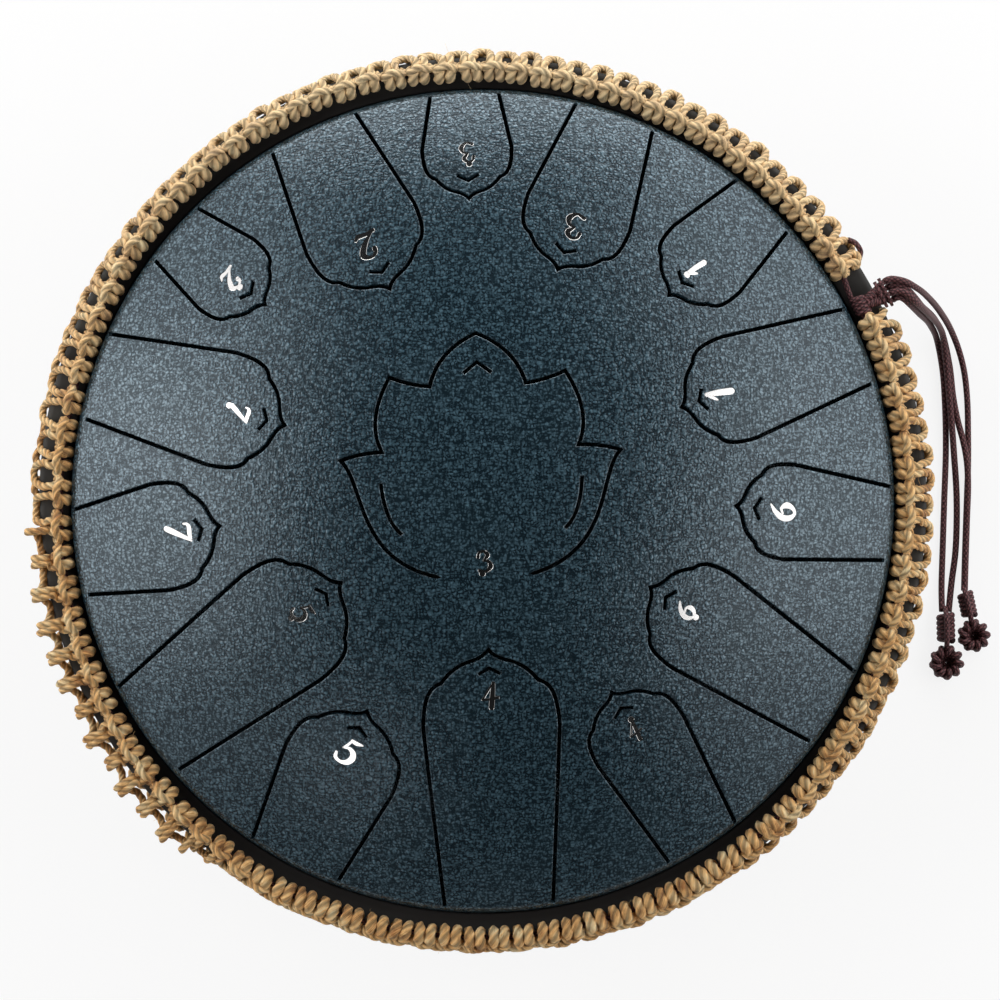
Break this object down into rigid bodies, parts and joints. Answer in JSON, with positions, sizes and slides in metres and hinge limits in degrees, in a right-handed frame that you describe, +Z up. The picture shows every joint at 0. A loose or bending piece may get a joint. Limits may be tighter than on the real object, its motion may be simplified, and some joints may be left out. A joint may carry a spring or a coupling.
{
  "type": "tongue drum",
  "caption": "Steel tongue drum: a dome slit into tuned tongues over a bowl-shaped lower shell, with a rubber rim band, a knotted jute rim net, tied cord ends and rubber feet.",
  "frame": {"origin": "on the ground under the middle of the drum", "axes": "+Z up through the dome, -Y towards the longest tongue, +X to the side where the cord is tied"},
  "size_m": [0.3979, 0.3678, 0.1406],
  "materials": {
    "navy_coat": "leather-grain powder coat on pressed steel",
    "black_rubber": "matt",
    "jute_twine": "twisted jute twine, knotted",
    "maroon_cord": "waxed braided cord"
  },
  "bodies": {
    "drum": {"upper_shell": "navy_coat", "lower_shell": "navy_coat", "rim_band": "black_rubber", "front_ring_cord": "maroon_cord", "rear_ring_cord": "maroon_cord", "front_knot_row": "jute_twine", "rear_knot_row": "jute_twine", "rim_lacing": "jute_twine", "tie_knot": "maroon_cord", "tie_whipping": "maroon_cord", "tail_a_left": "maroon_cord", "tail_a_right": "maroon_cord", "tail_b_left": "maroon_cord", "tail_b_right": "maroon_cord", "barrel_knot_a": "maroon_cord", "barrel_knot_b": "maroon_cord", "flower_knot_a": "maroon_cord", "flower_knot_b": "maroon_cord", "foot_1": "black_rubber", "foot_2": "black_rubber", "foot_3": "black_rubber"},
    "note_4": {"tongue_4": "navy_coat"},
    "note_low_6": {"tongue_low_6": "navy_coat"},
    "note_1": {"tongue_1": "navy_coat"},
    "note_3": {"tongue_3": "navy_coat"},
    "note_2": {"tongue_2": "navy_coat"},
    "note_low_7": {"tongue_low_7": "navy_coat"},
    "note_low_5": {"tongue_low_5": "navy_coat"},
    "note_high_4": {"tongue_high_4": "navy_coat"},
    "note_6": {"tongue_6": "navy_coat"},
    "note_high_1": {"tongue_high_1": "navy_coat"},
    "note_high_3": {"tongue_high_3": "navy_coat"},
    "note_high_2": {"tongue_high_2": "navy_coat"},
    "note_7": {"tongue_7": "navy_coat"},
    "note_5": {"tongue_5": "navy_coat"},
    "note_low_3": {"tongue_low_3": "navy_coat"}
  },
  "joints": [
    {"name": "note_4_flex", "type": "hinge", "parent": "drum", "child": "note_4", "pos_m": [0.0065, -0.16192, 0.09554], "axis": [0.9992, 0.0401, 0], "range_deg": [-0.4, 0.4], "stiffness_Nm_per_rad": 78.7},
    {"name": "note_low_6_flex", "type": "hinge", "parent": "drum", "child": "note_low_6", "pos_m": [0.14019, -0.08249, 0.09508], "axis": [0.5476, 0.8368, 0], "range_deg": [-0.4, 0.4], "stiffness_Nm_per_rad": 72.6},
    {"name": "note_1_flex", "type": "hinge", "parent": "drum", "child": "note_1", "pos_m": [0.15044, 0.06202, 0.09502], "axis": [-0.3289, 0.9444, 0], "range_deg": [-0.4, 0.4], "stiffness_Nm_per_rad": 81.4},
    {"name": "note_3_flex", "type": "hinge", "parent": "drum", "child": "note_3", "pos_m": [0.05275, 0.1539, 0.09506], "axis": [-0.9385, 0.3453, 0], "range_deg": [-0.4, 0.4], "stiffness_Nm_per_rad": 95},
    {"name": "note_2_flex", "type": "hinge", "parent": "drum", "child": "note_2", "pos_m": [-0.06777, 0.14765, 0.09524], "axis": [-0.8988, -0.4384, 0], "range_deg": [-0.4, 0.4], "stiffness_Nm_per_rad": 98.9},
    {"name": "note_low_7_flex", "type": "hinge", "parent": "drum", "child": "note_low_7", "pos_m": [-0.15467, 0.04997, 0.09518], "axis": [-0.2538, -0.9673, 0], "range_deg": [-0.4, 0.4], "stiffness_Nm_per_rad": 85.5},
    {"name": "note_low_5_flex", "type": "hinge", "parent": "drum", "child": "note_low_5", "pos_m": [-0.1341, -0.09127, 0.09543], "axis": [0.6018, -0.7986, 0], "range_deg": [-0.4, 0.4], "stiffness_Nm_per_rad": 78.9},
    {"name": "note_high_4_flex", "type": "hinge", "parent": "drum", "child": "note_high_4", "pos_m": [0.08796, -0.13695, 0.09498], "axis": [0.8563, 0.5165, 0], "range_deg": [-0.4, 0.4], "stiffness_Nm_per_rad": 82.1},
    {"name": "note_6_flex", "type": "hinge", "parent": "drum", "child": "note_6", "pos_m": [0.16258, -0.00907, 0.09491], "axis": [0.1132, 0.9936, 0], "range_deg": [-0.4, 0.4], "stiffness_Nm_per_rad": 89.9},
    {"name": "note_high_1_flex", "type": "hinge", "parent": "drum", "child": "note_high_1", "pos_m": [0.11191, 0.11831, 0.09489], "axis": [-0.6959, 0.7181, 0], "range_deg": [-0.4, 0.4], "stiffness_Nm_per_rad": 104.7},
    {"name": "note_high_3_flex", "type": "hinge", "parent": "drum", "child": "note_high_3", "pos_m": [-0.00734, 0.16276, 0.09483], "axis": [-0.999, -0.0454, 0], "range_deg": [-0.4, 0.4], "stiffness_Nm_per_rad": 123.6},
    {"name": "note_high_2_flex", "type": "hinge", "parent": "drum", "child": "note_high_2", "pos_m": [-0.12292, 0.10696, 0.0948], "axis": [-0.6225, -0.7826, 0], "range_deg": [-0.4, 0.4], "stiffness_Nm_per_rad": 111.1},
    {"name": "note_7_flex", "type": "hinge", "parent": "drum", "child": "note_7", "pos_m": [-0.16128, -0.02062, 0.09514], "axis": [0.184, -0.9829, 0], "range_deg": [-0.4, 0.4], "stiffness_Nm_per_rad": 110.9},
    {"name": "note_5_flex", "type": "hinge", "parent": "drum", "child": "note_5", "pos_m": [-0.0752, -0.14391, 0.09532], "axis": [0.8988, -0.4384, 0], "range_deg": [-0.4, 0.4], "stiffness_Nm_per_rad": 105.2},
    {"name": "note_low_3_flex", "type": "hinge", "parent": "drum", "child": "note_low_3", "pos_m": [0.00118, -0.02938, 0.1383], "axis": [0.9992, 0.0401, 0], "range_deg": [-0.4, 0.4], "stiffness_Nm_per_rad": 106.6}
  ]
}
